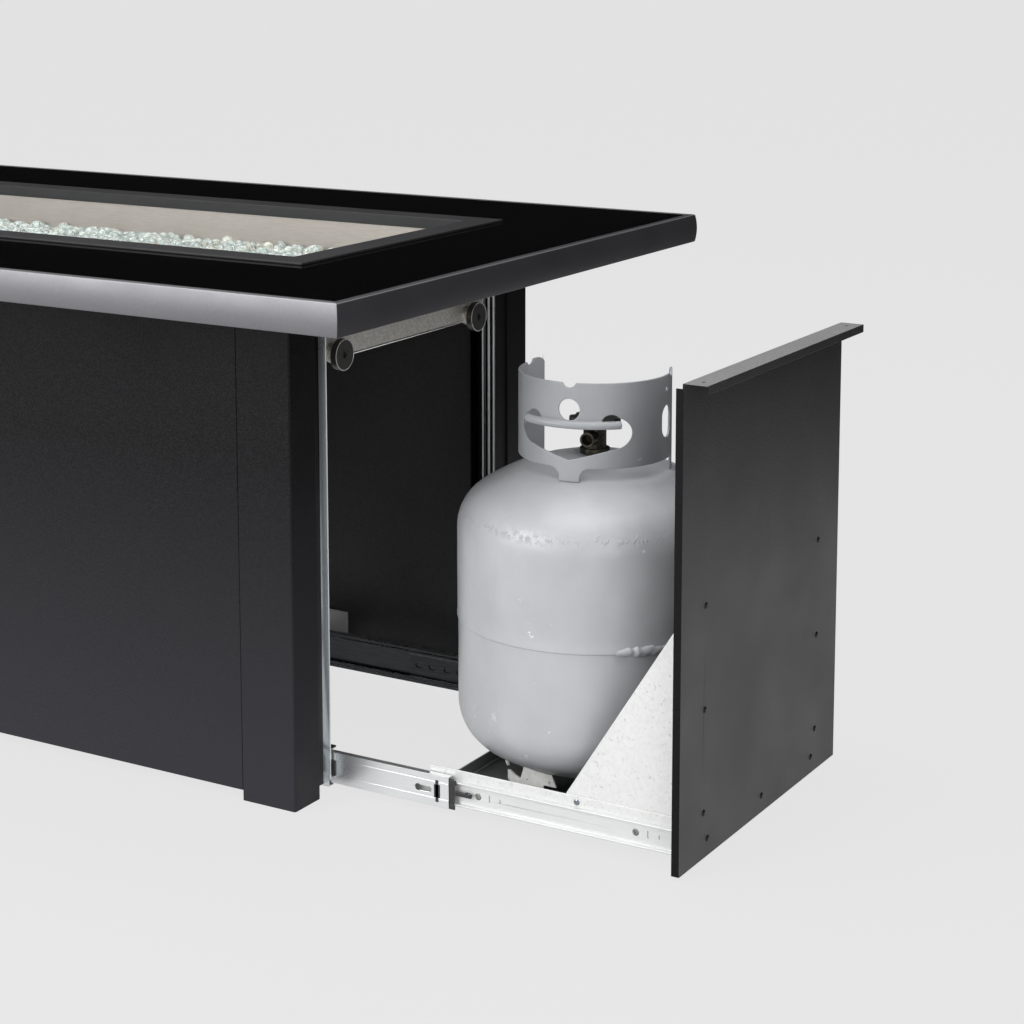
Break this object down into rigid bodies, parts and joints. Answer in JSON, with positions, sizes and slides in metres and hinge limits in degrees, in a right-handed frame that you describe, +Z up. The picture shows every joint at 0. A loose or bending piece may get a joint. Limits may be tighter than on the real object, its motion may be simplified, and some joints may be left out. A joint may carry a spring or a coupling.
{
  "type": "fire pit table",
  "caption": "Low rectangular gas fire pit table with a black glass top, a long burner with fire glass, and an end drawer on ball slides that carries the gas cylinder.",
  "frame": {"origin": "middle of the footprint with the drawer open, on the floor", "axes": "+X along the table towards the drawer, +Y to the back, +Z up"},
  "size_m": [1.8118, 0.803, 0.609],
  "materials": {
    "rail_grey": "satin metallic",
    "top_glass": "polished, black backed",
    "black_powder_coat": "fine textured matt",
    "trim_grey": "satin",
    "stainless": "brushed",
    "brass": "satin",
    "fire_glass": "tumbled",
    "ceramic": "glazed",
    "bright_zinc": "bright zinc plated",
    "galvanised_sheet": "spangled zinc",
    "nickel": "satin nickel",
    "magnet_black": "satin",
    "ball_cage": "oiled",
    "black_screws": "black oxide",
    "cylinder_paint": "worn gloss",
    "black_plastic": "satin"
  },
  "bodies": {
    "table": {"edge_rail_front": "rail_grey", "edge_rail_back": "rail_grey", "edge_rail_left": "rail_grey", "edge_rail_right": "rail_grey", "glass_top": "top_glass", "top_deck": "black_powder_coat", "top_support_frame": "black_powder_coat", "burner_trim": "trim_grey", "burner_pan": "stainless", "burner_tube": "stainless", "burner_inlet": "brass", "fire_glass": "fire_glass", "igniter_electrode": "ceramic", "gas_pipe": "bright_zinc", "post_front_left": "black_powder_coat", "post_front_right": "black_powder_coat", "post_back_left": "black_powder_coat", "post_back_right": "black_powder_coat", "front_panel": "black_powder_coat", "back_panel": "black_powder_coat", "left_panel": "black_powder_coat", "upright_front": "galvanised_sheet", "upright_back": "galvanised_sheet", "catch_bar": "nickel", "magnet_cups": "nickel", "catch_magnets": "magnet_black", "magnet_spacers": "nickel", "magnet_screws": "magnet_black", "outer_rail_front": "bright_zinc", "outer_rail_back": "bright_zinc", "slide_bracket_front": "galvanised_sheet", "slide_bracket_back": "galvanised_sheet", "control_valve": "brass", "igniter_housing": "black_plastic"},
    "drawer": {"inner_rail_front": "bright_zinc", "inner_rail_back": "bright_zinc", "drawer_tray": "galvanised_sheet", "gusset_front": "galvanised_sheet", "gusset_back": "galvanised_sheet", "door_panel": "black_powder_coat", "door_screws": "black_screws", "tray_screws": "bright_zinc", "rail_screws": "bright_zinc", "catch_keepers": "bright_zinc", "tank_upper": "cylinder_paint", "tank_lower": "cylinder_paint", "tank_foot": "cylinder_paint", "tank_collar": "cylinder_paint", "tank_valve": "brass"},
    "middle_front": {"middle_rail_front": "bright_zinc", "rail_stop_front": "black_plastic"},
    "outer_cage_front": {"outer_cage_front": "ball_cage"},
    "inner_cage_front": {"inner_cage_front": "ball_cage"},
    "middle_back": {"middle_rail_back": "bright_zinc", "rail_stop_back": "black_plastic"},
    "outer_cage_back": {"outer_cage_back": "ball_cage"},
    "inner_cage_back": {"inner_cage_back": "ball_cage"},
    "handwheel": {"tank_handwheel": "black_plastic"},
    "knob": {"control_knob": "black_plastic"},
    "button": {"igniter_button": "black_plastic"}
  },
  "joints": [
    {"name": "drawer_slide", "type": "slide", "parent": "table", "child": "drawer", "axis": [1, 0, 0], "range_m": [-0.44, 0]},
    {"name": "middle_front_slide", "type": "slide", "parent": "table", "child": "middle_front", "axis": [1, 0, 0], "range_m": [-0.1585, 0]},
    {"name": "outer_cage_front_slide", "type": "slide", "parent": "table", "child": "outer_cage_front", "axis": [1, 0, 0], "range_m": [-0.0795, 0]},
    {"name": "inner_cage_front_slide", "type": "slide", "parent": "table", "child": "inner_cage_front", "axis": [1, 0, 0], "range_m": [-0.2995, 0]},
    {"name": "middle_back_slide", "type": "slide", "parent": "table", "child": "middle_back", "axis": [1, 0, 0], "range_m": [-0.1585, 0]},
    {"name": "outer_cage_back_slide", "type": "slide", "parent": "table", "child": "outer_cage_back", "axis": [1, 0, 0], "range_m": [-0.0795, 0]},
    {"name": "inner_cage_back_slide", "type": "slide", "parent": "table", "child": "inner_cage_back", "axis": [1, 0, 0], "range_m": [-0.2995, 0]},
    {"name": "handwheel_turn", "type": "hinge", "parent": "drawer", "child": "handwheel", "pos_m": [0.6689, 0, 0.42], "axis": [0, 0, 1], "range_deg": [0, 540]},
    {"name": "knob_turn", "type": "hinge", "parent": "table", "child": "knob", "pos_m": [-0.7394, 0, 0.43], "axis": [-1, 0, 0], "range_deg": [0, 90]},
    {"name": "igniter_press", "type": "slide", "parent": "table", "child": "button", "axis": [1, 0, 0], "range_m": [0, 0.004], "stiffness_N_per_m": 600}
  ],
  "couplings": [
    {"joint": "middle_front_slide", "follows": "drawer_slide", "ratio": 0.35909},
    {"joint": "outer_cage_front_slide", "follows": "drawer_slide", "ratio": 0.17955},
    {"joint": "inner_cage_front_slide", "follows": "drawer_slide", "ratio": 0.67955},
    {"joint": "middle_back_slide", "follows": "drawer_slide", "ratio": 0.35909},
    {"joint": "outer_cage_back_slide", "follows": "drawer_slide", "ratio": 0.17955},
    {"joint": "inner_cage_back_slide", "follows": "drawer_slide", "ratio": 0.67955}
  ]
}
